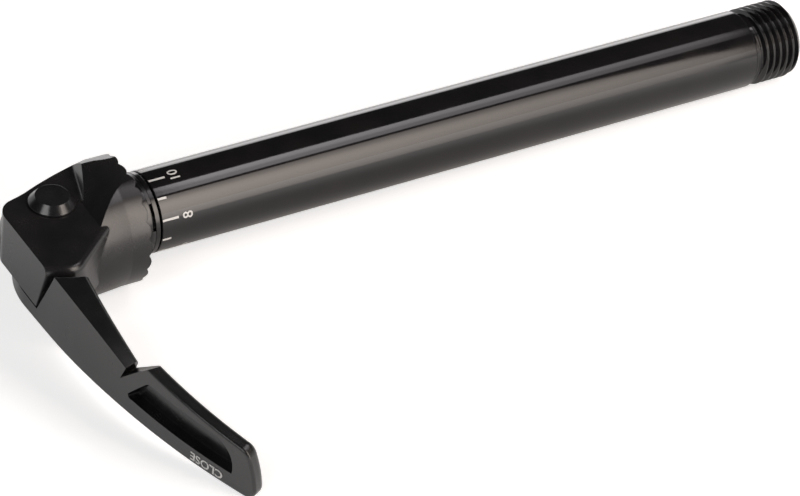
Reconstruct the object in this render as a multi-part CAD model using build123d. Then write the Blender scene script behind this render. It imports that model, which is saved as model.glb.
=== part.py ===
from build123d import *
from math import asin, atan2, cos, pi, radians, sin, sqrt, tan
import os

# Bicycle thru axle with an internal cam lever.
# The axle lies along +Y, the lever pin along +Z, and the closed lever points along +X.
# The origin is on the axle, in the plane of the flange's clamping teeth. Millimetres.

# Axle
axle_radius = 7.5
axle_end = 143.5
axle_bore_radius = 5.5
thread_length = 9.6
thread_relief_width = 0.9
thread_relief_depth = 0.45
end_chamfer = 0.8
mouth_radius = 6.5            # counterbore at the head end, for the index ring
web_start = 12.0              # wall across the axle that the tension rod pulls on
web_end = 17.0
index_ring_start = 6.2
index_positions = 12
notch_radius = 0.6
running_clearance = 0.05
bore_clearance = 0.02
loose_clearance = 0.3
seat_clearance = 0.1

# Head
flange_radius = 11.6
flange_width = 3.8
tooth_count = 22
tooth_height = 0.6
tooth_inner_radius = 9.2
tooth_rise = 0.15             # teeth stand this much proud of the flat ring inside them
waist_place = -10.5           # the body narrows and leans towards the lever
waist_radius = 11.15
waist_lean = 1.2
shoulder_place = -17.0
shoulder_radius = 10.25
shoulder_lean = 2.4
nose_end = -23.0
nose_end_radius = 4.5
outboard_face = -23.35
dome_radius = 11.5            # the top is turned to a dome across the axle
dome_top = 11.05
dome_place = -1.2
pad_height = 7.6              # milled pad round the top of the pin
pad_wall_start = -8.9
pad_wall_turn = 16.9          # degrees, the wall behind the pad slants towards the lever
pad_wall_slope = 65.0
pad_wall_fillet = 1.0
foot_underside = -2.5
foot_side_start = (9.2, -7.05)
foot_corner_place = -18.58
foot_end_top_radius = 18.8    # distances of the foot's end from the pin
foot_end_low_radius = 16.1
foot_corner_reach = 0.4       # its corner stands out this much before it is rounded
foot_corner_round = 4.5
ridge_round = 1.25
boss_radius = 7.3             # boss round the bottom of the pin
boss_bottom = -5.2
boss_back = -11.0
collar_bore_radius = 6.6
collar_bore_depth = 5.6
cavity_half_width = 5.3
cavity_half_height = 2.6

# Collar
collar_end = 3.8
parting_gap = 0.4
spigot_radius = 5.5
spigot_end = 10.4
clip_start = 2.3
clip_width = 0.7
clip_depth = 0.7
clip_gap_middle = 30.0        # degrees from +X towards +Z
clip_gap_angle = 40.0
index_groove_start = 7.0
index_groove_width = 1.6
index_groove_radius = 4.9
strip_radius = 5.3
bump_radius = 0.4
spring_pocket_radius = 3.9
spring_pocket_floor = 2.5
coil_radius = 3.3
coil_wire_radius = 0.35
coil_turns = 5

# Cam
pin_place = -14.1             # pin axis along the axle
cross_bore_radius = 3.9
journal_radius = 3.05
eccentric_radius = 2.25
eccentric_throw = 0.75
eccentric_half_height = 2.5
eye_clearance = 0.25
eye_wall = 1.3
eye_half_height = 2.3
rod_radius = 2.5
rod_end = 24.0
rod_chamfer = 0.5
washer_thickness = 0.8
nut_width = 8.0               # across the flats
nut_height = 4.5
drive_square = 4.2
cap_base_radius = 4.2
cap_top_radius = 3.05
cap_height = 1.75
cap_rim = 0.3
cap_spigot_radius = 2.0

# Lever
lever_bend_start = 19.0
lever_bend_radius = 115.0
lever_top = 8.06
lever_round = 1.4
lever_edge_round = 0.5
heel_start = 9.0
heel_radius = 20.0
heel_angle = 30.0
blade_end = (41.8, 4.2)
paddle_corner = (46.8, 7.65)
paddle_slope = 0.2
notch_front = -26.0           # the notch before the paddle slants, deeper in front than behind
notch_front_points = ((42.6, 4.3), (40.6, 0.2), (46.3, 7.75))
notch_back = -14.0
notch_back_points = ((39.4, 5.3), (38.9, 3.3), (46.6, 7.69))
paddle_thickness = 3.0
root_corner = (20.6, -17.5)
root_round = 2.5
spine_middle = (31.5, -18.4)
spine_end = 42.2
underside_points = ((52.0, -4.9), (36.0, -4.6), (22.0, -5.15), (10.0, -5.8), (-6.0, -5.8))
tip_place = 66.0
tip_allowance = 10.0          # length of the blank beyond the tip
tip_corner_round = 2.0
tip_top_round = 2.5
pocket_depth = 2.1
swing_gap = 0.3               # between the lever and what it turns past
lever_end_gap = 2.4           # between the tops of the foot's end and the lever's end
plate_bottom = -8.4
shim_thickness = 0.5
shim_radius = 5.6
lever_ring_radius = 5.8
screw_head_radius = 2.7
screw_head_height = 0.9
screw_radius = 1.5
screw_end = -3.4
screw_socket_radius = 1.15

beyond = 80.0                 # length of the cutters, more than any piece reaches
tube_start = collar_end + parting_gap
cam_centre = pin_place - eccentric_throw
plate_top = boss_bottom - shim_thickness
screw_seat = plate_bottom + screw_head_height + seat_clearance
lever_reach = tip_place + tip_allowance
pin_axis = Pos(0, pin_place, 0)


def disc(radius, start, end):
    """A cylinder along the axle from start to end."""
    return Pos(0, (start + end) / 2, 0) * Rot(90, 0, 0) * Cylinder(radius, end - start)


def tube(outer, inner, start, end):
    """A ring along the axle from start to end."""
    return disc(outer, start, end) - disc(inner, start - 1, end + 1)


def post(radius, bottom, top):
    """A cylinder about the lever pin from bottom to top."""
    return Pos(0, pin_place, (bottom + top) / 2) * Cylinder(radius, top - bottom)


def about_pin(*points):
    """A body turned about the lever pin from points of radius and height."""
    outline = make_face(Plane.XZ * Polyline(*points, close=True))
    return pin_axis * revolve(outline, Axis.Z)


def plan(curves, bottom, top):
    """A closed outline seen from above, given height."""
    return Pos(0, 0, bottom) * extrude(make_face(curves), top - bottom)


def side(curves):
    """A closed outline seen from outboard, wide enough to cut right through."""
    return extrude(Plane.XZ * make_face(curves), beyond, both=True)


def edges_near(body, *points):
    """For each point, the edge whose middle is nearest to it."""
    return [min(body.edges(), key=lambda edge: (edge @ 0.5 - Vector(*point)).length) for point in points]


def axle_tube():
    body = disc(axle_radius, tube_start, axle_end)
    body = chamfer(body.edges().group_by(Axis.Y)[-1], end_chamfer)
    relief = axle_end - thread_length
    body -= tube(axle_radius + 1, axle_radius - thread_relief_depth, relief - thread_relief_width, relief)
    body -= disc(mouth_radius, tube_start - 1, web_start)
    body -= disc(rod_radius + running_clearance, web_start - 1, web_end + 1)
    return body - disc(axle_bore_radius, web_end, axle_end + 1)


def index_ring():
    """Ring in the mouth of the axle, with a notch for each dial position."""
    inner = spigot_radius + running_clearance
    body = tube(mouth_radius, inner, index_ring_start, spigot_end)
    notch = Pos(inner, 0, 0) * disc(notch_radius, index_ring_start - 1, spigot_end + 1)
    return body - [Rot(0, 360 * k / index_positions, 0) * notch for k in range(index_positions)]


def seal_ring():
    """Rubber ring that keeps dirt out of the parting line."""
    section = (mouth_radius - spigot_radius) / 2 - 0.03
    middle = (mouth_radius + spigot_radius) / 2
    return Pos(0, tube_start + 1.0, 0) * Rot(90, 0, 0) * Torus(middle, section)


def thrust_washer():
    return tube(axle_bore_radius - 0.2, rod_radius + 0.15, web_end, web_end + washer_thickness)


def tension_nut():
    hexagon = RegularPolygon(nut_width / 2, 6, major_radius=False) - Circle(rod_radius + bore_clearance)
    return Pos(0, web_end + washer_thickness, 0) * Rot(-90, 0, 0) * extrude(hexagon, nut_height)


def tension_rod():
    """Rod with an eye for the cam, slotted so that the cam can pass from side to side."""
    slot_radius = eccentric_radius + eye_clearance
    eye_radius = slot_radius + eye_wall
    reach = 2 * (eccentric_throw + seat_clearance)
    eye = SlotCenterToCenter(reach, 2 * eye_radius) - SlotCenterToCenter(reach, 2 * slot_radius)
    body = Pos(0, cam_centre, -eye_half_height) * extrude(eye, 2 * eye_half_height)
    neck = cam_centre + eye_radius + 1
    shank = disc(rod_radius, cam_centre + slot_radius + 0.6, rod_end)
    shank = chamfer(shank.edges().group_by(Axis.Y)[-1], rod_chamfer)
    flats = Box(8, 4, 8) - Box(8, 4, 2 * eye_half_height)
    return body + (shank - Pos(0, neck - 2, 0) * flats)


def tooth():
    """One rounded clamping tooth, as wide as its share of the rim and tapering towards the axle."""
    half_angle = pi / tooth_count
    ends = []
    for reach in (tooth_inner_radius - 0.6, flange_radius + 0.6):
        half = reach * tan(half_angle)
        drop = -tooth_height * reach / flange_radius
        crest = ThreePointArc((-half, drop), (0, 0), (half, drop))
        sides = Polyline((half, drop), (half, -2.0), (-half, -2.0), (-half, drop))
        across = Plane(origin=(reach, 0, 0), x_dir=(0, 0, -1), z_dir=(1, 0, 0))
        ends.append(across * make_face([crest, sides]))
    return loft(ends, ruled=True)


def flange():
    """Clamping flange: a ring of rounded teeth round a flat ring."""
    root = -1.5 * tooth_height
    body = disc(flange_radius, -flange_width, root) + disc(tooth_inner_radius, root - 1, -tooth_rise)
    one_tooth = tooth()
    crown = Part() + [Rot(0, 360 * (k + 0.5) / tooth_count, 0) * one_tooth for k in range(tooth_count)]
    return body + (crown & tube(flange_radius, tooth_inner_radius - 0.4, -2 * tooth_height, tooth_height))


def head_body():
    """Round body behind the flange, leaning towards the lever, with a rounded nose."""
    sections = []
    for radius, lean, place in ((flange_radius, 0, -flange_width), (waist_radius, waist_lean, waist_place),
                                (shoulder_radius, shoulder_lean, shoulder_place)):
        sections.append(Plane(origin=(lean, place, 0), x_dir=(1, 0, 0), z_dir=(0, -1, 0)) * Circle(radius))
    shoulder = (shoulder_radius, shoulder_place)
    nose_tip = (nose_end_radius, nose_end)
    nose = ThreePointArc(shoulder, (8.4, -20.8), nose_tip)
    core = Polyline(nose_tip, (0, nose_end), (0, shoulder_place), shoulder)
    return loft(sections) + Pos(shoulder_lean, 0, 0) * revolve(make_face([nose, core]), Axis.Y)


def foot_outline(end_radius, height):
    """Plan of the foot at one height: slanted side, rounded corner and end, then the part inside the body."""
    start_x, start_y = foot_side_start
    top_reach = foot_end_top_radius + foot_corner_reach
    top_corner_x = sqrt(top_reach ** 2 - (foot_corner_place - pin_place) ** 2)
    slant = atan2(start_y - foot_corner_place, top_corner_x - start_x)
    before = start_x * cos(slant) - (start_y - pin_place) * sin(slant)
    aside = start_x * sin(slant) + (start_y - pin_place) * cos(slant)
    run = sqrt((end_radius + foot_corner_reach) ** 2 - aside ** 2) - before
    corner = (start_x + run * cos(slant), start_y - run * sin(slant))
    end = (sqrt(end_radius ** 2 - (outboard_face - pin_place) ** 2), outboard_face)
    front = FilletPolyline(foot_side_start, corner, end, radius=foot_corner_round)
    heel = ThreePointArc((0.6, outboard_face), (-2.0, -22.6), (-3.4, -20.8))
    inside = Polyline((-3.4, -20.8), (-4.4, -17.0), (-3.0, -8.0), foot_side_start)
    return Pos(0, 0, height) * make_face([front, Line(end, (0.6, outboard_face)), heel, inside])


def foot():
    """Block that carries the pad out towards the lever, shorter below, with a rounded ridge."""
    low = foot_outline(foot_end_low_radius, foot_underside)
    top = foot_outline(foot_end_top_radius, pad_height)
    body = loft([low, top], ruled=True)
    ridge = body.edges().group_by(Axis.Z)[-1].sort_by(Axis.X)[-3:]
    return fillet(ridge, ridge_round)


def dome_cut():
    """Cutter that leaves the top of the flange and body as a dome across the axle."""
    above = Box(beyond, beyond, beyond, align=(Align.CENTER, Align.CENTER, Align.MIN))
    dome = Rot(0, 90, 0) * Cylinder(dome_radius, 2 * beyond)
    return Pos(0, 0, pad_height) * above - Pos(0, dome_place, dome_top - dome_radius) * dome


def pad_cut():
    """Cutter for the pad: flat, then a small hollow and a slanting wall up to the dome."""
    turn = radians(pad_wall_turn)
    slope = radians(pad_wall_slope)
    hollow_points = []
    for angle in (0, slope / 2, slope):
        hollow_points.append((pad_wall_start + pad_wall_fillet * sin(angle),
                              pad_height + pad_wall_fillet * (1 - cos(angle))))
    wall_foot = hollow_points[-1]
    wall_top = (wall_foot[0] + beyond / tan(slope), wall_foot[1] + beyond)
    rest = Polyline(wall_foot, wall_top, (-beyond, wall_top[1]), (-beyond, pad_height), hollow_points[0])
    across = Plane(origin=(0, 0, 0), x_dir=(sin(turn), cos(turn), 0), z_dir=(cos(turn), -sin(turn), 0))
    return extrude(across * make_face([ThreePointArc(*hollow_points), rest]), beyond, both=True)


def head_housing():
    body = flange() + head_body() - (dome_cut() + pad_cut())
    body += foot()
    below = Box(2 * beyond, beyond, beyond, align=(Align.CENTER, Align.MAX, Align.MAX))
    lever_path = about_pin((boss_radius, foot_underside), (beyond, foot_underside), (beyond, -beyond),
                           (boss_radius, -beyond))
    body -= lever_path & (Pos(0, boss_back, foot_underside) * below)
    body -= Pos(0, boss_back, boss_bottom) * below
    body -= post(lever_ring_radius + 1, -20, boss_bottom)
    body -= disc(collar_bore_radius, -collar_bore_depth, 1)
    body -= post(cavity_half_width, -cavity_half_height, cavity_half_height)
    slot_length = collar_bore_depth - pin_place + 1
    slot = Box(2 * cavity_half_width, slot_length, 2 * cavity_half_height)
    body -= Pos(0, (pin_place - collar_bore_depth) / 2, 0) * slot
    return body - post(cross_bore_radius, -20, 20)


def index_collar():
    """Collar that carries the head on the axle, with a spigot that runs inside the index ring."""
    body = disc(axle_radius, -tooth_rise, collar_end)
    body += disc(collar_bore_radius, -collar_bore_depth + 0.2, 0.5)
    body += disc(spigot_radius, collar_end - 0.5, spigot_end)
    body -= tube(axle_radius + 1, axle_radius - clip_depth, clip_start, clip_start + clip_width)
    groove_end = index_groove_start + index_groove_width
    body -= tube(spigot_radius + 1, index_groove_radius, index_groove_start, groove_end)
    body -= disc(rod_radius + loose_clearance, -10, 20)
    return body - disc(spring_pocket_radius, spring_pocket_floor, 20)


def collar_clip():
    """Open retaining ring, flush in the collar's groove."""
    side_gap = 0.04
    body = tube(axle_radius - running_clearance, axle_radius - clip_depth,
                clip_start + side_gap, clip_start + clip_width - side_gap)
    half = radians(clip_gap_angle / 2)
    mouth = Polyline((0, 0), (20 * cos(half), 20 * sin(half)), (20 * cos(half), -20 * sin(half)), close=True)
    return body - Rot(0, -clip_gap_middle, 0) * side(mouth)


def index_spring():
    """Spring strip in the spigot's groove, with two bumps that click into the index ring."""
    start = index_groove_start + seat_clearance
    end = index_groove_start + index_groove_width - seat_clearance
    inner = index_groove_radius + 0.02
    body = tube(strip_radius, inner, start, end)
    bump = Pos(strip_radius - 0.1, 0, 0) * disc(bump_radius, start, end)
    body += [bump, Rot(0, 180, 0) * bump]
    body -= disc(inner, start - 1, end + 1)
    return body - Pos(0, start, strip_radius) * Box(1.2, 4, 3)


def return_spring():
    """Coil round the rod that lifts the head off the frame as the lever opens."""
    start = spring_pocket_floor + seat_clearance + coil_wire_radius
    height = web_start - seat_clearance - coil_wire_radius - start
    path = Helix(height / coil_turns, height, coil_radius)
    section = Plane(origin=path @ 0, z_dir=path % 0) * Circle(coil_wire_radius)
    return Pos(0, start, 0) * Rot(-90, 0, 0) * sweep(section, path=path, is_frenet=True)


def bush(bottom, top):
    bore = journal_radius + running_clearance
    return post(cross_bore_radius, bottom, top) - post(bore, bottom - 1, top + 1)


def cam_shaft():
    """Pin with an eccentric middle, a square for the lever and a spigot for the cap."""
    body = post(journal_radius, boss_bottom - 0.2, -eccentric_half_height)
    body += post(journal_radius, eccentric_half_height, pad_height - seat_clearance)
    body += Pos(0, cam_centre, 0) * Cylinder(eccentric_radius, 2 * eccentric_half_height)
    square = Box(drive_square, drive_square, boss_bottom - screw_seat)
    body += Pos(0, pin_place, (boss_bottom + screw_seat) / 2) * square
    body += post(cap_spigot_radius, pad_height - 0.5, pad_height + 1.0)
    return body - post(screw_radius, screw_seat - 1, screw_end + 0.2)


def pivot_cap():
    """Chamfered cap on the top end of the cam shaft."""
    bottom = pad_height + seat_clearance
    top = pad_height + cap_height
    body = about_pin((0, bottom), (cap_base_radius, bottom), (cap_base_radius, bottom + cap_rim),
                     (cap_top_radius, top), (0, top))
    return body - post(cap_spigot_radius, bottom - 1, pad_height + 1.0)


def bend_point(x, depth):
    """Point of the lever's long bend at x, at a depth behind its outer face."""
    radius = lever_bend_radius - depth
    return x, outboard_face + lever_bend_radius - sqrt(radius ** 2 - (x - lever_bend_start) ** 2)


def bend_arc(start, end, depth):
    middle = (start + end) / 2
    return ThreePointArc(bend_point(start, depth), bend_point(middle, depth), bend_point(end, depth))


def bend_strip(start, end, thickness, bottom, top):
    """A strip of the long bend between two places."""
    faces = [bend_arc(start, end, 0), bend_arc(end, start, thickness)]
    ends = [Line(bend_point(x, 0), bend_point(x, thickness)) for x in (start, end)]
    return plan(faces + ends, bottom, top)


def lever_plan():
    """The lever seen from above: heel, straight root, then one long bend back towards the wheel."""
    lean = radians(heel_angle)
    heel_points = []
    for angle in (lean, lean / 2, 0):
        heel_points.append((heel_start - heel_radius * sin(angle),
                            outboard_face + heel_radius * (1 - cos(angle))))
    straight = Line((heel_start, outboard_face), (lever_bend_start, outboard_face))
    outer = bend_arc(lever_bend_start, lever_reach, 0)
    end = Line(bend_point(lever_reach, 0), bend_point(lever_reach, paddle_thickness))
    back = bend_arc(lever_reach, spine_end, paddle_thickness)
    spine = ThreePointArc(bend_point(spine_end, paddle_thickness), spine_middle, root_corner)
    root = Polyline(root_corner, (10.0, -13.0), heel_points[0])
    return plan([ThreePointArc(*heel_points), straight, outer, end, back, spine, root], -10, lever_top + 1)


def lever_side():
    """The lever seen from outboard: tapering blade, then the paddle standing higher, with a waist between."""
    blade_top = ThreePointArc((lever_bend_start, lever_top), (31.0, 7.05), blade_end)
    hump = (blade_end[0], paddle_corner[1] - paddle_slope * (blade_end[0] - paddle_corner[0]))
    far_top = (beyond, paddle_corner[1] - paddle_slope * (beyond - paddle_corner[0]))
    far = (beyond, -6.7)
    step = Polyline(blade_end, hump, far_top, far)
    lower = Spline(far, *underside_points)
    heel = underside_points[-1]
    root = Polyline(heel, (heel[0], lever_top), (lever_bend_start, lever_top))
    return side([blade_top, step, lower, root])


def lever_notch():
    """Cutter for the notch between blade and paddle."""
    ends = []
    for place, points in ((notch_front, notch_front_points), (notch_back, notch_back_points)):
        blade, foot_point, corner = points
        outline = Polyline(blade, foot_point, corner, (corner[0], beyond), (blade[0], beyond), close=True)
        ends.append(Plane(origin=(0, place, 0), x_dir=(1, 0, 0), z_dir=(0, -1, 0)) * make_face(outline))
    return loft(ends, ruled=True)


def lever_tip():
    """The tip's outline, square to the bend."""
    lean = asin((tip_place - lever_bend_start) / lever_bend_radius)
    along = (cos(lean), sin(lean), 0)
    face = Plane(origin=bend_point(tip_place, 0), x_dir=along, z_dir=(sin(lean), -cos(lean), 0))
    low = (3.9, -8.0)
    end = ThreePointArc((0.6, 5.0), (2.75, 0.8), low)
    before = Polyline(low, (-2 * beyond, low[1]), (-2 * beyond, beyond), (0.6, beyond), (0.6, 5.0))
    return extrude(face * make_face([end, before]), beyond, both=True)


def lever_blank():
    """Forged shape of the lever, with its edges rounded."""
    body = (lever_plan() & lever_side() & lever_tip()) - lever_notch()
    low_corner = bend_point(tip_place + 2.7, paddle_thickness / 2)
    top_corner = bend_point(tip_place + 0.7, paddle_thickness / 2)
    top_back = bend_point((paddle_corner[0] + tip_place) / 2, paddle_thickness)
    body = fillet(edges_near(body, (*low_corner, -5.9)), tip_corner_round)
    body = fillet(edges_near(body, (*top_corner, 3.7)), tip_top_round)
    body = fillet(edges_near(body, (*root_corner, 1.4)), root_round)
    body = fillet(edges_near(body, (*spine_middle, 7.1)), lever_round)
    body = fillet(edges_near(body, (*top_back, 5.7)), lever_round)
    return fillet(edges_near(body, (14.0, outboard_face, -5.6)), lever_edge_round)


def pocket_outline():
    lower = Line((43.2, -1.1), (65.0, -2.4))
    end = ThreePointArc((65.0, -2.4), (64.2, 1.6), (61.5, 3.8))
    upper = Line((61.5, 3.8), (48.4, 4.8))
    corner = ThreePointArc((48.4, 4.8), (47.3, 4.85), (46.2, 4.3))
    start = Line((46.2, 4.3), (42.2, -0.3))
    low_corner = ThreePointArc((42.2, -0.3), (42.3, -0.9), (43.2, -1.1))
    return side([lower, end, upper, corner, start, low_corner])


def lever():
    pocket = bend_strip(lever_bend_start, lever_reach, pocket_depth, -beyond, beyond) & pocket_outline()
    body = lever_blank() - pocket
    arm_top = foot_underside - swing_gap
    arm = Polyline((-2.0, -19.2), (3.0, -19.6), (14.0, -20.0), (18.0, -19.6), (18.0, -17.5), (8.0, -11.6),
                   (0, -9.0), close=True)
    body += plan(arm, plate_bottom, arm_top) + post(lever_ring_radius, plate_bottom, plate_top)
    boss_room = boss_radius + swing_gap
    lever_end_radius = foot_end_top_radius + lever_end_gap
    body -= about_pin((0, plate_top), (boss_room, plate_top), (boss_room, arm_top),
                      (foot_end_low_radius + swing_gap, arm_top), (lever_end_radius, lever_top),
                      (lever_end_radius, beyond), (0, beyond))
    body -= Pos(0, pin_place, plate_bottom) * Box(drive_square, drive_square, 20)
    return body - post(screw_head_radius + seat_clearance, plate_bottom - 1, screw_seat)


def lever_washer():
    bore = journal_radius + seat_clearance
    return post(shim_radius, plate_top, boss_bottom) - post(bore, plate_top - 1, boss_bottom + 1)


def lever_screw():
    body = post(screw_head_radius, screw_seat - screw_head_height, screw_seat)
    body += post(screw_radius, screw_seat - 0.2, screw_end)
    socket = extrude(RegularPolygon(screw_socket_radius, 6), 0.6)
    return body - Pos(0, pin_place, screw_seat - screw_head_height) * socket


parts = {
    "axle_tube": axle_tube(),
    "index_ring": index_ring(),
    "seal_ring": seal_ring(),
    "thrust_washer": thrust_washer(),
    "tension_nut": tension_nut(),
    "tension_rod": tension_rod(),
    "head_housing": head_housing(),
    "index_collar": index_collar(),
    "collar_clip": collar_clip(),
    "index_spring": index_spring(),
    "return_spring": return_spring(),
    "upper_bush": bush(cavity_half_height + seat_clearance, pad_height - running_clearance),
    "lower_bush": bush(boss_bottom + running_clearance, -cavity_half_height - seat_clearance),
    "cam_shaft": cam_shaft(),
    "pivot_cap": pivot_cap(),
    "lever": lever(),
    "lever_washer": lever_washer(),
    "lever_screw": lever_screw(),
}

os.makedirs("parts", exist_ok=True)
for name, solid in parts.items():
    export_step(solid, f"parts/{name}.step")
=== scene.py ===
from math import cos, pi, radians, sin, sqrt
import bmesh
import bpy
from mathutils import Matrix, Vector


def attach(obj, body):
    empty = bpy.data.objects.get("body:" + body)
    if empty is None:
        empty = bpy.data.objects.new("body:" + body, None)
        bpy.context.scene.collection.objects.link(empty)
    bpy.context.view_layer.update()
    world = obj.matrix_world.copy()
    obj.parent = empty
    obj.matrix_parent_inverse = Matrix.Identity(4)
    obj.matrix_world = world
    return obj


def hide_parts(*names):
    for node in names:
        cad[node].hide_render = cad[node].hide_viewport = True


# Bicycle thru axle with a folding cam lever, lying on a white table
# Blender works in metres, the size tables below are in millimetres

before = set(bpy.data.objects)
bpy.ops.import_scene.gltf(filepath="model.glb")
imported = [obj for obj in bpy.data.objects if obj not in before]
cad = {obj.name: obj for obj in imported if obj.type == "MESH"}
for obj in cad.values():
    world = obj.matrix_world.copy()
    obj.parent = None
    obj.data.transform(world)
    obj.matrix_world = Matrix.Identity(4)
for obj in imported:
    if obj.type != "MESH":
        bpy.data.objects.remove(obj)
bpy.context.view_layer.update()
scene = bpy.context.scene
mm = 0.001
print("frame loaded,", len(cad), "pieces")


# small helpers for node trees and meshes

def addNode(tree, kind, place, settings=None, values=None):
    node = tree.nodes.new(kind)
    node.location = place
    for key, value in (settings or {}).items():
        setattr(node, key, value)
    for key, value in (values or {}).items():
        node.inputs[key].default_value = value
    return node


def wire(tree, *pairs):
    for source, target in pairs:
        tree.links.new(source, target)


def calc(tree, operation, first, second=0.0, third=0.0, clamp=False):
    node = tree.nodes.new("ShaderNodeMath")
    node.operation = operation
    node.use_clamp = clamp
    for socket, term in zip(node.inputs, (first, second, third)):
        if isinstance(term, bpy.types.NodeSocket):
            tree.links.new(term, socket)
        else:
            socket.default_value = term
    return node.outputs[0]


def openTree(name, kind, inputs, outputs):
    tree = bpy.data.node_groups.new(name, kind)
    for label, socketKind, value in inputs:
        socket = tree.interface.new_socket(label, in_out="INPUT", socket_type=socketKind)
        if value is not None:
            socket.default_value = value
    for label, socketKind in outputs:
        tree.interface.new_socket(label, in_out="OUTPUT", socket_type=socketKind)
    entry = addNode(tree, "NodeGroupInput", (-1200, 0))
    leave = addNode(tree, "NodeGroupOutput", (900, 0))
    return tree, entry.outputs, leave.inputs


def growMesh(name, tree, values):
    # runs a Geometry Nodes tree on an empty object and keeps the plain mesh
    holder = bpy.data.objects.new(name, bpy.data.meshes.new(name + "Seed"))
    scene.collection.objects.link(holder)
    modifier = holder.modifiers.new("grow", "NODES")
    modifier.node_group = tree
    for socket in tree.interface.items_tree:
        if socket.in_out == "INPUT" and socket.name in values:
            modifier[socket.identifier] = values[socket.name]
    grown = holder.evaluated_get(bpy.context.evaluated_depsgraph_get())
    mesh = bpy.data.meshes.new_from_object(grown)
    mesh.name = name
    holder.modifiers.remove(modifier)
    bpy.data.objects.remove(holder)
    return mesh


def tidyMesh(mesh, weld, sharp):
    bm = bmesh.new()
    bm.from_mesh(mesh)
    bmesh.ops.remove_doubles(bm, verts=bm.verts, dist=weld * mm)
    bmesh.ops.dissolve_degenerate(bm, dist=weld * mm, edges=bm.edges)
    bmesh.ops.recalc_face_normals(bm, faces=bm.faces)
    bm.to_mesh(mesh)
    bm.free()
    mesh.polygons.foreach_set("use_smooth", [True] * len(mesh.polygons))
    mesh.set_sharp_from_angle(angle=radians(sharp))
    return mesh


def place(name, mesh, material):
    mesh.materials.clear()
    mesh.materials.append(material)
    obj = bpy.data.objects.new(name, mesh)
    scene.collection.objects.link(obj)
    return obj


# shader groups shared by the finishes

grainLook = {"fineShare": 0.35, "cloudShare": 0.65, "low": 0.3, "high": 0.7, "reliefDepth": 0.02}
wearLook = {"gain": 5.0, "cutOff": -0.5, "patchLow": 0.38, "patchHigh": 0.68, "patchScale": 900.0}


def buildGrain():
    # fine blasted grain over slow cloudy changes in the dye
    tree, into, out = openTree("dyedGrain", "ShaderNodeTree",
                               [("Grain Scale", "NodeSocketFloat", 5000.0), ("Cloud Scale", "NodeSocketFloat", 160.0),
                                ("Rough Low", "NodeSocketFloat", 0.1), ("Rough High", "NodeSocketFloat", 0.2)],
                               [("Roughness", "NodeSocketFloat"), ("Height", "NodeSocketFloat"),
                                ("Cloud", "NodeSocketFloat")])
    coords = addNode(tree, "ShaderNodeTexCoord", (-1200, -300))
    fine = addNode(tree, "ShaderNodeTexNoise", (-700, 200), {}, {"Detail": 3.0, "Roughness": 0.6})
    cloud = addNode(tree, "ShaderNodeTexNoise", (-700, -200), {}, {"Detail": 4.0, "Roughness": 0.55})
    wire(tree, (coords.outputs["Object"], fine.inputs["Vector"]), (coords.outputs["Object"], cloud.inputs["Vector"]),
         (into["Grain Scale"], fine.inputs["Scale"]), (into["Cloud Scale"], cloud.inputs["Scale"]))
    slow = calc(tree, "MULTIPLY", cloud.outputs[0], grainLook["cloudShare"])
    blend = calc(tree, "MULTIPLY_ADD", fine.outputs[0], grainLook["fineShare"], slow)
    spread = addNode(tree, "ShaderNodeMapRange", (300, 100), {},
                     {"From Min": grainLook["low"], "From Max": grainLook["high"]})
    wire(tree, (blend, spread.inputs["Value"]), (into["Rough Low"], spread.inputs["To Min"]),
         (into["Rough High"], spread.inputs["To Max"]), (spread.outputs[0], out["Roughness"]),
         (fine.outputs[0], out["Height"]), (cloud.outputs[0], out["Cloud"]))
    return tree


def buildEdgeWear():
    # finds edges by comparing a rounded normal with the real one, broken up by noise
    tree, into, out = openTree("edgeWear", "ShaderNodeTree",
                               [("Radius", "NodeSocketFloat", 0.0002), ("Amount", "NodeSocketFloat", 0.5),
                                ("Breakup Scale", "NodeSocketFloat", wearLook["patchScale"])],
                               [("Mask", "NodeSocketFloat"), ("Normal", "NodeSocketVector")])
    rounded = addNode(tree, "ShaderNodeBevel", (-800, 100), {"samples": 6})
    surface = addNode(tree, "ShaderNodeNewGeometry", (-800, -200))
    coords = addNode(tree, "ShaderNodeTexCoord", (-1200, -400))
    breakup = addNode(tree, "ShaderNodeTexNoise", (-800, -500), {}, {"Detail": 5.0, "Roughness": 0.65})
    agree = addNode(tree, "ShaderNodeVectorMath", (-500, 0), {"operation": "DOT_PRODUCT"})
    wire(tree, (into["Radius"], rounded.inputs["Radius"]), (rounded.outputs[0], agree.inputs[0]),
         (surface.outputs["Normal"], agree.inputs[1]), (coords.outputs["Object"], breakup.inputs["Vector"]),
         (into["Breakup Scale"], breakup.inputs["Scale"]), (rounded.outputs[0], out["Normal"]))
    edge = calc(tree, "MULTIPLY_ADD", calc(tree, "SUBTRACT", 1.0, agree.outputs["Value"]),
                wearLook["gain"], wearLook["cutOff"], clamp=True)
    patchy = addNode(tree, "ShaderNodeMapRange", (-200, -400), {},
                     {"From Min": wearLook["patchLow"], "From Max": wearLook["patchHigh"]})
    wire(tree, (breakup.outputs[0], patchy.inputs["Value"]))
    worn = calc(tree, "MULTIPLY", calc(tree, "MULTIPLY", edge, patchy.outputs[0]), into["Amount"], clamp=True)
    wire(tree, (worn, out["Mask"]))
    return tree


def buildTurning():
    # rings left by the lathe, running round the axle
    tree, into, out = openTree("turnedRings", "ShaderNodeTree",
                               [("Ring Scale", "NodeSocketFloat", 5200.0)], [("Height", "NodeSocketFloat")])
    coords = addNode(tree, "ShaderNodeTexCoord", (-1200, -200))
    split = addNode(tree, "ShaderNodeSeparateXYZ", (-1000, -200))
    rings = addNode(tree, "ShaderNodeTexNoise", (-500, 100), {"noise_dimensions": "1D"}, {"Detail": 4.0})
    wire(tree, (coords.outputs["Object"], split.inputs[0]), (split.outputs["Y"], rings.inputs["W"]),
         (into["Ring Scale"], rings.inputs["Scale"]), (rings.outputs[0], out["Height"]))
    return tree


grainGroup = buildGrain()
wearGroup = buildEdgeWear()
turnGroup = buildTurning()


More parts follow.
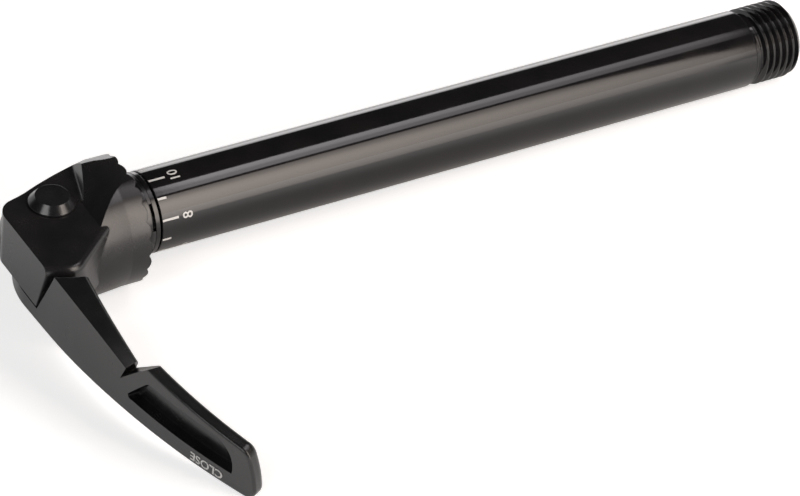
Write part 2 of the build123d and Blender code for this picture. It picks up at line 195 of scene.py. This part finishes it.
def useGroup(tree, group, spot, values):
    return addNode(tree, "ShaderNodeGroup", spot, {"node_tree": group}, values)


def colorMix(tree, spot, factor, low, high):
    node = addNode(tree, "ShaderNodeMix", spot, {"data_type": "RGBA"})
    for socket, term in ((node.inputs[0], factor), (node.inputs[6], low), (node.inputs[7], high)):
        if isinstance(term, bpy.types.NodeSocket):
            tree.links.new(term, socket)
        else:
            socket.default_value = term if isinstance(term, float) else (*term, 1.0)
    return node.outputs[2]


def makeFinish(name, look):
    # one metal or plastic finish: dye clouds, grain, edge wear and a little relief
    material = bpy.data.materials.new(name)
    material.use_nodes = True
    tree = material.node_tree
    shader = tree.nodes["Principled BSDF"]
    roughLow, roughHigh = look["rough"]
    grain = useGroup(tree, grainGroup, (-900, 200),
                     {"Grain Scale": look["grainScale"], "Cloud Scale": look["cloudScale"],
                      "Rough Low": roughLow, "Rough High": roughHigh})
    wear = useGroup(tree, wearGroup, (-900, -200), {"Radius": look["edge"] * mm, "Amount": look["wear"]})
    spread = addNode(tree, "ShaderNodeMapRange", (-650, 350), {},
                     {"From Min": grainLook["low"], "From Max": grainLook["high"]})
    wire(tree, (grain.outputs["Cloud"], spread.inputs["Value"]))
    dye = colorMix(tree, (-400, 300), spread.outputs[0], look["dark"], look["light"])
    color = colorMix(tree, (-200, 200), wear.outputs["Mask"], dye, look["bare"])
    bump = addNode(tree, "ShaderNodeBump", (-300, -300), {},
                   {"Strength": look["relief"], "Distance": grainLook["reliefDepth"] * mm})
    height = grain.outputs["Height"]
    if "rings" in look:
        turned = useGroup(tree, turnGroup, (-900, -500), {"Ring Scale": look["rings"]})
        height = calc(tree, "MULTIPLY_ADD", turned.outputs["Height"], look["ringShare"], height)
    wire(tree, (height, bump.inputs["Height"]), (wear.outputs["Normal"], bump.inputs["Normal"]),
         (bump.outputs[0], shader.inputs["Normal"]), (color, shader.inputs["Base Color"]),
         (grain.outputs["Roughness"], shader.inputs["Roughness"]))
    shader.inputs["Metallic"].default_value = look["metallic"]
    return material


# bare is what shows where the edges are worn, edge is the width of that wear in millimetres
finishes = {
    "axle_black": {"dark": (0.007, 0.007, 0.008), "light": (0.012, 0.011, 0.011), "bare": (0.16, 0.16, 0.17),
                   "rough": (0.06, 0.11), "grainScale": 5200.0, "cloudScale": 140.0, "edge": 0.08, "wear": 0.15,
                   "relief": 0.05, "rings": 5200.0, "ringShare": 0.8, "metallic": 0.0},
    "head_black": {"dark": (0.011, 0.011, 0.012), "light": (0.019, 0.018, 0.018), "bare": (0.2, 0.2, 0.21),
                   "rough": (0.2, 0.3), "grainScale": 3800.0, "cloudScale": 170.0, "edge": 0.2, "wear": 0.04,
                   "relief": 0.05, "metallic": 0.0},
    "collar_black": {"dark": (0.007, 0.007, 0.008), "light": (0.012, 0.011, 0.011), "bare": (0.18, 0.18, 0.19),
                     "rough": (0.12, 0.2), "grainScale": 5200.0, "cloudScale": 140.0, "edge": 0.08, "wear": 0.15,
                     "relief": 0.05, "rings": 5200.0, "ringShare": 0.8, "metallic": 0.0},
    "cap_black": {"dark": (0.011, 0.011, 0.012), "light": (0.019, 0.019, 0.02), "bare": (0.2, 0.2, 0.21),
                  "rough": (0.16, 0.26), "grainScale": 4200.0, "cloudScale": 220.0, "edge": 0.12, "wear": 0.12,
                  "relief": 0.08, "metallic": 0.0},
    "lever_black": {"dark": (0.008, 0.008, 0.009), "light": (0.015, 0.015, 0.015), "bare": (0.2, 0.2, 0.21),
                    "rough": (0.18, 0.3), "grainScale": 4200.0, "cloudScale": 150.0, "edge": 0.12, "wear": 0.03,
                    "relief": 0.1, "metallic": 0.0},
    "clip_steel": {"dark": (0.05, 0.05, 0.052), "light": (0.1, 0.1, 0.1), "bare": (0.4, 0.4, 0.4),
                   "rough": (0.25, 0.4), "grainScale": 4000.0, "cloudScale": 300.0, "edge": 0.05, "wear": 0.5,
                   "relief": 0.08, "metallic": 1.0},
    "ring_steel": {"dark": (0.36, 0.35, 0.34), "light": (0.5, 0.49, 0.47), "bare": (0.7, 0.7, 0.7),
                   "rough": (0.22, 0.36), "grainScale": 4000.0, "cloudScale": 300.0, "edge": 0.06, "wear": 0.5,
                   "relief": 0.08, "rings": 4200.0, "ringShare": 0.6, "metallic": 1.0},
    "rod_steel": {"dark": (0.32, 0.32, 0.32), "light": (0.48, 0.47, 0.46), "bare": (0.68, 0.68, 0.68),
                  "rough": (0.24, 0.38), "grainScale": 3600.0, "cloudScale": 260.0, "edge": 0.1, "wear": 0.5,
                  "relief": 0.08, "rings": 4200.0, "ringShare": 0.6, "metallic": 1.0},
    "spring_steel": {"dark": (0.22, 0.21, 0.2), "light": (0.38, 0.37, 0.35), "bare": (0.6, 0.6, 0.6),
                     "rough": (0.2, 0.34), "grainScale": 3600.0, "cloudScale": 400.0, "edge": 0.05, "wear": 0.3,
                     "relief": 0.06, "metallic": 1.0},
    "cam_steel": {"dark": (0.4, 0.39, 0.38), "light": (0.55, 0.54, 0.52), "bare": (0.72, 0.72, 0.72),
                  "rough": (0.15, 0.26), "grainScale": 4200.0, "cloudScale": 260.0, "edge": 0.08, "wear": 0.5,
                  "relief": 0.06, "metallic": 1.0},
    "screw_steel": {"dark": (0.03, 0.03, 0.032), "light": (0.07, 0.07, 0.07), "bare": (0.45, 0.45, 0.45),
                    "rough": (0.26, 0.42), "grainScale": 3600.0, "cloudScale": 500.0, "edge": 0.1, "wear": 0.6,
                    "relief": 0.1, "metallic": 1.0},
    "bush_bronze": {"dark": (0.35, 0.2, 0.09), "light": (0.5, 0.31, 0.15), "bare": (0.65, 0.45, 0.25),
                    "rough": (0.26, 0.42), "grainScale": 2600.0, "cloudScale": 320.0, "edge": 0.08, "wear": 0.5,
                    "relief": 0.12, "metallic": 1.0},
    "shim_plastic": {"dark": (0.02, 0.02, 0.021), "light": (0.035, 0.035, 0.036), "bare": (0.07, 0.07, 0.07),
                     "rough": (0.4, 0.55), "grainScale": 2600.0, "cloudScale": 300.0, "edge": 0.08, "wear": 0.4,
                     "relief": 0.15, "metallic": 0.0},
    "seal_rubber": {"dark": (0.012, 0.012, 0.012), "light": (0.022, 0.022, 0.022), "bare": (0.05, 0.05, 0.05),
                    "rough": (0.55, 0.75), "grainScale": 2600.0, "cloudScale": 400.0, "edge": 0.06, "wear": 0.3,
                    "relief": 0.2, "metallic": 0.0},
}
inkLook = {"dark": (0.72, 0.72, 0.71), "light": (0.82, 0.82, 0.81), "bare": (0.6, 0.6, 0.6),
           "rough": (0.38, 0.5), "grainScale": 5000.0, "cloudScale": 500.0, "edge": 0.0, "wear": 0.1,
           "relief": 0.06, "metallic": 0.0}
materials = {name: makeFinish(name, look) for name, look in finishes.items()}
printInk = makeFinish("print_white", inkLook)
for obj in cad.values():
    for materialSlot in obj.material_slots:
        materialSlot.material = materials[materialSlot.material.name.split(".")[0]]
print("finishes made:", len(materials) + 1)


# axle tube, with a real thread on its end

axle = {"radius": 7.5, "start": 4.2, "end": 143.5, "mouth": 6.5, "edgeBreak": 0.12,
        "bore": 5.5, "boreChamfer": 0.3, "webStart": 12.0, "webEnd": 17.0, "rodHole": 2.55,
        "reliefStart": 133.0, "reliefRadius": 6.66, "reliefRound": (-0.25, -0.06, 0.2),
        "threadStart": 133.9, "pitch": 1.5, "threadDepth": 0.86, "runIn": 0.9, "endChamfer": 0.95,
        "rootShare": 0.25, "flankShare": 0.625, "spareTurns": 3, "rowsPerTurn": 16, "around": 144,
        "weld": 0.004, "sharp": 25}


def buildThreadTree():
    # a sheet wrapped along the helix, so its rows follow every crest and root
    sizes = ("Pitch", "Outer Radius", "Depth", "Root Share", "Flank Share", "Start", "End", "Start Radius",
             "Run In", "End Chamfer", "Rows per Turn")
    tree, into, out = openTree("threadTurns", "GeometryNodeTree",
                               [(label, "NodeSocketFloat", 1.0) for label in sizes]
                               + [("Rows", "NodeSocketInt", 8), ("Columns", "NodeSocketInt", 8),
                                  ("Finish", "NodeSocketMaterial", None)],
                               [("Geometry", "NodeSocketGeometry")])
    sheet = addNode(tree, "GeometryNodeMeshGrid", (-900, 200), {}, {"Size X": 1.0, "Size Y": 1.0})
    wire(tree, (into["Rows"], sheet.inputs["Vertices X"]), (into["Columns"], sheet.inputs["Vertices Y"]))
    spot = addNode(tree, "GeometryNodeInputPosition", (-900, -100))
    split = addNode(tree, "ShaderNodeSeparateXYZ", (-700, -100))
    wire(tree, (spot.outputs[0], split.inputs[0]))
    lastRow = calc(tree, "SUBTRACT", into["Rows"], 1.0)
    row = calc(tree, "MULTIPLY", calc(tree, "ADD", split.outputs["X"], 0.5), lastRow)
    turn = calc(tree, "ADD", split.outputs["Y"], 0.5)
    turns = calc(tree, "DIVIDE", row, into["Rows per Turn"])
    wave = calc(tree, "ABSOLUTE", calc(tree, "MULTIPLY_ADD", calc(tree, "FRACT", turns), 2.0, -1.0))
    flank = calc(tree, "DIVIDE", calc(tree, "SUBTRACT", wave, into["Root Share"]), into["Flank Share"], clamp=True)
    advance = calc(tree, "SUBTRACT", calc(tree, "ADD", turns, turn), 1.0)
    along = calc(tree, "MULTIPLY_ADD", advance, into["Pitch"], into["Start"])
    along = calc(tree, "MAXIMUM", calc(tree, "MINIMUM", along, into["End"]), into["Start"])
    radius = calc(tree, "MULTIPLY_ADD", calc(tree, "SUBTRACT", flank, 1.0), into["Depth"], into["Outer Radius"])
    rise = calc(tree, "DIVIDE", calc(tree, "SUBTRACT", along, into["Start"]), into["Run In"], clamp=True)
    grown = calc(tree, "SUBTRACT", radius, into["Start Radius"])
    radius = calc(tree, "MULTIPLY_ADD", grown, rise, into["Start Radius"])
    limit = calc(tree, "SUBTRACT", into["Outer Radius"], into["End Chamfer"])
    limit = calc(tree, "ADD", limit, calc(tree, "SUBTRACT", into["End"], along))
    radius = calc(tree, "MINIMUM", radius, limit)
    angle = calc(tree, "MULTIPLY", turn, -2 * pi)
    point = addNode(tree, "ShaderNodeCombineXYZ", (300, -200))
    wire(tree, (calc(tree, "MULTIPLY", radius, calc(tree, "COSINE", angle)), point.inputs["X"]),
         (along, point.inputs["Y"]), (calc(tree, "MULTIPLY", radius, calc(tree, "SINE", angle)), point.inputs["Z"]))
    bend = addNode(tree, "GeometryNodeSetPosition", (500, 100))
    solid = addNode(tree, "GeometryNodeRealizeInstances", (650, 100))
    paint = addNode(tree, "GeometryNodeSetMaterial", (800, 100))
    wire(tree, (sheet.outputs["Mesh"], bend.inputs["Geometry"]), (point.outputs[0], bend.inputs["Position"]),
         (bend.outputs[0], solid.inputs[0]), (solid.outputs[0], paint.inputs["Geometry"]),
         (into["Finish"], paint.inputs["Material"]), (paint.outputs[0], out["Geometry"]))
    return tree


def turnProfile(bm, profile, around):
    # sweeps points of radius and place round the axle
    rings = []
    for radius, along in profile:
        ring = []
        for step in range(around):
            angle = -2 * pi * step / around
            ring.append(bm.verts.new((radius * mm * cos(angle), along * mm, radius * mm * sin(angle))))
        rings.append(ring)
    for first, second in zip(rings, rings[1:]):
        for step in range(around):
            after = (step + 1) % around
            bm.faces.new((first[step], first[after], second[after], second[step]))


def makeAxle():
    a = axle
    turns = int((a["end"] - a["threadStart"]) / a["pitch"]) + a["spareTurns"]
    values = {"Pitch": a["pitch"] * mm, "Outer Radius": a["radius"] * mm, "Depth": a["threadDepth"] * mm,
              "Start": a["threadStart"] * mm, "End": a["end"] * mm, "Start Radius": a["reliefRadius"] * mm,
              "Run In": a["runIn"] * mm, "End Chamfer": a["endChamfer"] * mm,
              "Root Share": a["rootShare"], "Flank Share": a["flankShare"],
              "Rows per Turn": float(a["rowsPerTurn"]), "Rows": turns * a["rowsPerTurn"] + 1,
              "Columns": a["around"] + 1, "Finish": materials["axle_black"]}
    thread = growMesh("threadTurns", buildThreadTree(), values)
    roundStart, roundMiddle, roundEnd = a["reliefRound"]
    outside = [(a["rodHole"], a["webStart"]), (a["mouth"], a["webStart"]), (a["mouth"], a["start"]),
               (a["radius"] - a["edgeBreak"], a["start"]), (a["radius"], a["start"] + a["edgeBreak"]),
               (a["radius"], a["reliefStart"] + roundStart),
               (a["radius"] - a["edgeBreak"], a["reliefStart"] + roundMiddle),
               (a["reliefRadius"], a["reliefStart"] + roundEnd), (a["reliefRadius"], a["threadStart"])]
    inside = [(a["radius"] - a["endChamfer"], a["end"]), (a["bore"] + a["boreChamfer"], a["end"]),
              (a["bore"], a["end"] - a["boreChamfer"]),
              (a["bore"], a["webEnd"]), (a["rodHole"], a["webEnd"]), (a["rodHole"], a["webStart"])]
    bm = bmesh.new()
    bm.from_mesh(thread)
    turnProfile(bm, outside, a["around"])
    turnProfile(bm, inside, a["around"])
    mesh = bpy.data.meshes.new("axleTube")
    bm.to_mesh(mesh)
    bm.free()
    bpy.data.meshes.remove(thread)
    tidyMesh(mesh, a["weld"], a["sharp"])
    obj = place("axleTube", mesh, materials["axle_black"])
    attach(obj, "axle")
    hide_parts("axle_tube")
    return obj


axleTube = makeAxle()
print("axle and thread:", len(axleTube.data.polygons), "faces")


# dial printed round the axle: twelve ticks, numbered by twos

dial = {"count": 12, "firstAngle": -187.5, "step": 30.0, "start": 4.35, "longEnd": 7.55, "shortEnd": 6.05,
        "width": 0.42, "ink": 0.02, "lift": 0.02, "textSize": 2.75, "bold": 0.02, "textPlace": 9.45}
letterCut = {"strip": 0.3, "weld": 0.0005, "snap": 0.0001, "curveSteps": 4, "sharp": 40}


def buildTickTree():
    sizes = ("First Angle", "Step", "Radius", "Start", "Long", "Short", "Width", "Ink")
    tree, into, out = openTree("dialTicks", "GeometryNodeTree",
                               [(label, "NodeSocketFloat", 1.0) for label in sizes]
                               + [("Count", "NodeSocketInt", 12), ("Finish", "NodeSocketMaterial", None)],
                               [("Geometry", "NodeSocketGeometry")])
    order = addNode(tree, "GeometryNodeInputIndex", (-1000, -200))
    angle = calc(tree, "MULTIPLY_ADD", order.outputs[0], into["Step"], into["First Angle"])
    isLong = calc(tree, "MODULO", order.outputs[0], 2.0)
    length = calc(tree, "MULTIPLY_ADD", calc(tree, "SUBTRACT", into["Long"], into["Short"]), isLong, into["Short"])
    spot = addNode(tree, "ShaderNodeCombineXYZ", (-500, -100))
    wire(tree, (calc(tree, "MULTIPLY", into["Radius"], calc(tree, "COSINE", angle)), spot.inputs["X"]),
         (calc(tree, "MULTIPLY_ADD", length, 0.5, into["Start"]), spot.inputs["Y"]),
         (calc(tree, "MULTIPLY", into["Radius"], calc(tree, "SINE", angle)), spot.inputs["Z"]))
    marks = addNode(tree, "GeometryNodePoints", (-300, 100))
    wire(tree, (into["Count"], marks.inputs["Count"]), (spot.outputs[0], marks.inputs["Position"]))
    turned = addNode(tree, "ShaderNodeCombineXYZ", (-300, -200))
    size = addNode(tree, "ShaderNodeCombineXYZ", (-300, -350))
    size.inputs["X"].default_value = 1.0
    size.inputs["Z"].default_value = 1.0
    wire(tree, (calc(tree, "MULTIPLY", angle, -1.0), turned.inputs["Y"]), (length, size.inputs["Y"]))
    shape = addNode(tree, "ShaderNodeCombineXYZ", (-300, 350))
    shape.inputs["Y"].default_value = 1.0
    bar = addNode(tree, "GeometryNodeMeshCube", (-100, 350))
    wire(tree, (into["Ink"], shape.inputs["X"]), (into["Width"], shape.inputs["Z"]),
         (shape.outputs[0], bar.inputs["Size"]))
    stamp = addNode(tree, "GeometryNodeInstanceOnPoints", (150, 100))
    solid = addNode(tree, "GeometryNodeRealizeInstances", (400, 100))
    paint = addNode(tree, "GeometryNodeSetMaterial", (600, 100))
    wire(tree, (marks.outputs[0], stamp.inputs["Points"]), (bar.outputs["Mesh"], stamp.inputs["Instance"]),
         (turned.outputs[0], stamp.inputs["Rotation"]), (size.outputs[0], stamp.inputs["Scale"]),
         (stamp.outputs[0], solid.inputs[0]), (solid.outputs[0], paint.inputs["Geometry"]),
         (into["Finish"], paint.inputs["Material"]), (paint.outputs[0], out["Geometry"]))
    return tree


def flatText(words, size, ink, bold):
    # letters as a thin closed mesh, cut into narrow strips so they can follow a curve
    curve = bpy.data.curves.new("letters", "FONT")
    curve.body = words
    curve.size = size * mm
    curve.align_x = "CENTER"
    curve.align_y = "CENTER"
    curve.extrude = ink * mm / 2
    curve.offset = bold * mm
    curve.resolution_u = letterCut["curveSteps"]
    holder = bpy.data.objects.new("letters", curve)
    scene.collection.objects.link(holder)
    mesh = bpy.data.meshes.new_from_object(holder.evaluated_get(bpy.context.evaluated_depsgraph_get()))
    bpy.data.objects.remove(holder)
    bpy.data.curves.remove(curve)
    bm = bmesh.new()
    bm.from_mesh(mesh)
    bmesh.ops.remove_doubles(bm, verts=bm.verts, dist=letterCut["weld"] * mm)
    reach = max(abs(vertex.co.x) for vertex in bm.verts)
    cut = -reach
    while cut < reach:
        cut += letterCut["strip"] * mm
        bmesh.ops.bisect_plane(bm, geom=bm.verts[:] + bm.edges[:] + bm.faces[:], dist=letterCut["snap"] * mm,
                               plane_co=(cut, 0, 0), plane_no=(1, 0, 0))
    bm.to_mesh(mesh)
    bm.free()
    return mesh


def makeDial():
    d = dial
    face = (axle["radius"] + d["lift"]) * mm
    values = {"First Angle": radians(d["firstAngle"]), "Step": radians(d["step"]), "Radius": face,
              "Start": d["start"] * mm, "Long": (d["longEnd"] - d["start"]) * mm,
              "Short": (d["shortEnd"] - d["start"]) * mm, "Width": d["width"] * mm, "Ink": d["ink"] * mm,
              "Count": d["count"], "Finish": printInk}
    bm = bmesh.new()
    ticks = growMesh("dialTicks", buildTickTree(), values)
    bm.from_mesh(ticks)
    bpy.data.meshes.remove(ticks)
    for number in range(2, d["count"] + 1, 2):
        letters = flatText(str(number), d["textSize"], d["ink"], d["bold"])
        middle = radians(d["firstAngle"] + d["step"] * (number - 1))
        for vertex in letters.vertices:
            x, y, z = vertex.co
            angle = middle + x / face
            radius = face + z
            vertex.co = (radius * cos(angle), d["textPlace"] * mm - y, radius * sin(angle))
        bm.from_mesh(letters)
        bpy.data.meshes.remove(letters)
    mesh = bpy.data.meshes.new("dialPrint")
    bm.to_mesh(mesh)
    bm.free()
    tidyMesh(mesh, letterCut["weld"], letterCut["sharp"])
    obj = place("dialPrint", mesh, printInk)
    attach(obj, "axle")
    return obj


dialPrint = makeDial()
print("dial:", len(dialPrint.data.polygons), "faces")


# the word on the lever's paddle, which says which way it shuts

leverWord = {"word": "CLOSE", "size": 2.2, "bold": 0.05, "ink": 0.02, "lift": 0.04,
             "middle": (60.2, -3.7), "slope": 0.065, "bendStart": 19.0, "bendRadius": 115.0, "face": -23.35}


def makeLeverWord():
    # the letters follow the bend of the lever's outer face
    w = leverWord
    letters = flatText(w["word"], w["size"], w["ink"], w["bold"])
    for vertex in letters.vertices:
        x, y, z = vertex.co
        along = w["middle"][0] * mm - x
        height = w["middle"][1] * mm - y - w["slope"] * (along - w["middle"][0] * mm)
        swing = (along - w["bendStart"] * mm) / (w["bendRadius"] * mm)
        z += w["lift"] * mm
        radius = w["bendRadius"] * mm + z
        centre = (w["face"] + w["bendRadius"]) * mm
        vertex.co = (along + z * swing, centre - radius * sqrt(1 - swing ** 2), height)
    tidyMesh(letters, letterCut["weld"], letterCut["sharp"])
    obj = place("leverWord", letters, printInk)
    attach(obj, "handle")
    return obj


word = makeLeverWord()
print("lever word:", len(word.data.polygons), "faces")


# white table, tipped to touch the flange, the thread and the lever's tip

# the table's radii and rim are in metres; the two distances give where the painted shadow in the table's reflected
# glow starts to lift and where that glow is full
table = {"rise": (0.09181, 0.02883), "height": -11.65, "rings": (0.3, 0.8), "flat": 1.3, "rim": 2.0,
         "rimHeight": 0.55, "rimSwing": 60, "rimSteps": 8, "around": 96,
         "dark": (0.84, 0.84, 0.84), "light": (0.9, 0.9, 0.9), "cloudScale": 6.0, "rough": 0.9,
         "cameraGlow": 0.62, "mirrorGlowWithPaintedShadow": (0.03, 0.8), "paintedShadowInner": 0.005, "far": 0.08,
         "paintedShadowMiddle": -0.024, "paintedShadowSquash": 0.4}


def makeTableMaterial():
    t = table
    material = bpy.data.materials.new("table_white")
    material.use_nodes = True
    tree = material.node_tree
    shader = tree.nodes["Principled BSDF"]
    shader.inputs["Roughness"].default_value = t["rough"]
    shader.inputs["Specular IOR Level"].default_value = 0.0
    coords = addNode(tree, "ShaderNodeTexCoord", (-900, 0))
    cloud = addNode(tree, "ShaderNodeTexNoise", (-700, 0), {}, {"Scale": t["cloudScale"], "Detail": 3.0})
    wire(tree, (coords.outputs["Object"], cloud.inputs["Vector"]))
    paint = colorMix(tree, (-400, 0), cloud.outputs[0], t["dark"], t["light"])
    wire(tree, (paint, shader.inputs["Base Color"]))
    path = addNode(tree, "ShaderNodeLightPath", (-700, 400))
    mirrored = calc(tree, "ADD", path.outputs["Is Glossy Ray"], path.outputs["Is Transmission Ray"], clamp=True)
    # in reflections the table is white, with a painted shadow that dims its glow close to the part
    around = addNode(tree, "ShaderNodeMapping", (-900, 700), {},
                     {"Location": (0.0, t["paintedShadowMiddle"], 0.0), "Scale": (1.0, t["paintedShadowSquash"], 0.0)})
    apart = addNode(tree, "ShaderNodeVectorMath", (-700, 700), {"operation": "LENGTH"})
    shadowedGlow, full = t["mirrorGlowWithPaintedShadow"]
    paintedShadowRamp = addNode(tree, "ShaderNodeMapRange", (-500, 700), {"interpolation_type": "SMOOTHSTEP"},
                     {"From Min": t["paintedShadowInner"], "From Max": t["far"], "To Min": shadowedGlow, "To Max": full})
    wire(tree, (coords.outputs["Object"], around.inputs["Vector"]), (around.outputs[0], apart.inputs[0]),
         (apart.outputs["Value"], paintedShadowRamp.inputs["Value"]))
    # reflected glow here is the painted shadow ramp, the glow seen by the camera stays even
    seen = calc(tree, "MULTIPLY_ADD", path.outputs["Is Camera Ray"], t["cameraGlow"],
                calc(tree, "MULTIPLY", mirrored, paintedShadowRamp.outputs[0]))
    glow = addNode(tree, "ShaderNodeEmission", (-200, 400), {}, {"Color": (1.0, 1.0, 1.0, 1.0)})
    wire(tree, (seen, glow.inputs["Strength"]))
    both = addNode(tree, "ShaderNodeAddShader", (200, 300))
    wire(tree, (glow.outputs[0], both.inputs[0]), (shader.outputs[0], both.inputs[1]),
         (both.outputs[0], tree.nodes["Material Output"].inputs["Surface"]))
    return material


def makeTable():
    t = table
    profile = [(radius, 0.0) for radius in (*t["rings"], t["flat"])]
    full = radians(t["rimSwing"])
    for step in range(1, t["rimSteps"] + 1):
        swing = radians(t["rimSwing"] * step / t["rimSteps"])
        profile.append((t["flat"] + (t["rim"] - t["flat"]) * sin(swing) / sin(full),
                        t["rimHeight"] * (1 - cos(swing)) / (1 - cos(full))))
    bm = bmesh.new()
    rings = []
    for radius, height in profile:
        ring = []
        for step in range(t["around"]):
            angle = 2 * pi * step / t["around"]
            ring.append(bm.verts.new((radius * cos(angle), radius * sin(angle), height)))
        rings.append(ring)
    bm.faces.new(rings[0])
    for first, second in zip(rings, rings[1:]):
        for step in range(t["around"]):
            after = (step + 1) % t["around"]
            bm.faces.new((first[step], second[step], second[after], first[after]))
    slopeX, slopeY = t["rise"]
    for vertex in bm.verts:
        vertex.co.z += slopeX * vertex.co.x + slopeY * vertex.co.y + t["height"] * mm
    mesh = bpy.data.meshes.new("whiteTable")
    bm.to_mesh(mesh)
    bm.free()
    mesh.polygons.foreach_set("use_smooth", [True] * len(mesh.polygons))
    obj = place("whiteTable", mesh, makeTableMaterial())
    return obj


makeTable()
print("table ready")

# studio: a dim room, a softbox beside the camera, a strip overhead, a card behind and a fill in front
# turn is measured round the axle from +X towards +Z, reach is the lamp's span along the axle
# tones are the brightness from the lamp's lower edge to its upper edge
# fade is the brightness at the start and the end of its reach

lamps = {
    "softboxKey": {"turn": 25.5, "distance": 450, "tall": 769, "reach": (120, 425), "fade": (1.43, 0.66),
                   "color": (1.0, 0.89, 0.81),
                   "tones": ((0.0, 0.5), (0.08, 1.2), (0.22, 1.9), (0.315, 2.8), (0.495, 4.6), (0.67, 5.5),
                             (0.77, 5.2), (0.89, 3.6), (1.0, 2.5))},
    "stripOverhead": {"turn": 83.8, "distance": 450, "tall": 188, "reach": (205, 420), "fade": (1.12, 0.37),
                      "color": (1.0, 0.96, 0.98),
                      "tones": ((0.0, 3.0), (0.4, 3.2), (0.6, 4.8), (0.95, 5.0), (1.0, 4.4))},
    "cardBehind": {"turn": 181.0, "distance": 450, "tall": 200, "reach": (60, 560), "fade": (1.0, 1.45),
                   "color": (1.0, 0.97, 0.98),
                   "tones": ((0.0, 1.4), (0.6, 1.5), (1.0, 1.0))},
    "fillFront": {"turn": 62.0, "distance": 560, "tall": 420, "reach": (-760, -360), "fade": (1.0, 1.0),
                  "color": (1.0, 0.98, 0.97),
                  "tones": ((0.0, 4.4), (1.0, 4.4))},
}


def makeLamp(name, look):
    start, end = (value * mm for value in look["reach"])
    light = bpy.data.lights.new(name, "AREA")
    light.shape = "RECTANGLE"
    light.size = look["tall"] * mm
    light.size_y = end - start
    light.energy = pi * light.size * light.size_y
    light.color = look["color"]
    light.use_nodes = True
    tree = light.node_tree
    spot = addNode(tree, "ShaderNodeNewGeometry", (-900, 0))
    split = addNode(tree, "ShaderNodeSeparateXYZ", (-700, 0))
    wire(tree, (spot.outputs["Parametric"], split.inputs[0]))
    peak = max(tone for spotAt, tone in look["tones"])
    ramp = addNode(tree, "ShaderNodeValToRGB", (-450, 200))
    while len(ramp.color_ramp.elements) < len(look["tones"]):
        ramp.color_ramp.elements.new(0.5)
    for element, (spotAt, tone) in zip(ramp.color_ramp.elements, look["tones"]):
        element.position = spotAt
        element.color = (tone / peak, tone / peak, tone / peak, 1.0)
    wire(tree, (split.outputs["X"], ramp.inputs[0]))
    first, last = look["fade"]
    fade = calc(tree, "MULTIPLY_ADD", split.outputs["Y"], first - last, last)
    strength = calc(tree, "MULTIPLY", ramp.outputs[0], fade)
    wire(tree, (calc(tree, "MULTIPLY", strength, peak), tree.nodes["Emission"].inputs["Strength"]))
    swing = radians(look["turn"])
    away = Vector((cos(swing), 0.0, sin(swing)))
    upward = Vector((-sin(swing), 0.0, cos(swing)))
    spread = Vector((0.0, -1.0, 0.0))
    obj = bpy.data.objects.new(name, light)
    middle = away * look["distance"] * mm + Vector((0.0, (start + end) / 2, 0.0))
    obj.matrix_world = Matrix.Translation(middle) @ Matrix((upward, spread, away)).transposed().to_4x4()
    scene.collection.objects.link(obj)


for name, look in lamps.items():
    makeLamp(name, look)

room = {"color": (0.9, 0.95, 1.0, 1.0), "strength": 0.03}
world = bpy.data.worlds.new("dimRoom")
world.use_nodes = True
backdrop = world.node_tree.nodes["Background"]
backdrop.inputs["Color"].default_value = room["color"]
backdrop.inputs["Strength"].default_value = room["strength"]
scene.world = world
print("lamps lit:", len(lamps))

# camera at the photo's angle

cameraLook = {"eye": (465.8, -274.2, 418.3), "right": (0.5131, 0.8520, 0.1044), "up": (-0.5698, 0.2471, 0.7838),
              "back": (0.6420, -0.4616, 0.6122), "lens": 174.33, "sensor": 36.0, "clipStart": 0.01}
cameraData = bpy.data.cameras.new("photoCamera")
cameraData.sensor_width = cameraLook["sensor"]
cameraData.sensor_fit = "HORIZONTAL"
cameraData.lens = cameraLook["lens"]
cameraData.clip_start = cameraLook["clipStart"]
camera = bpy.data.objects.new("photoCamera", cameraData)
turn = Matrix((cameraLook["right"], cameraLook["up"], cameraLook["back"])).transposed().to_4x4()
camera.matrix_world = Matrix.Translation(Vector(cameraLook["eye"]) * mm) @ turn
scene.collection.objects.link(camera)
scene.camera = camera
scene.view_settings.view_transform = "Standard"
print("camera ready")
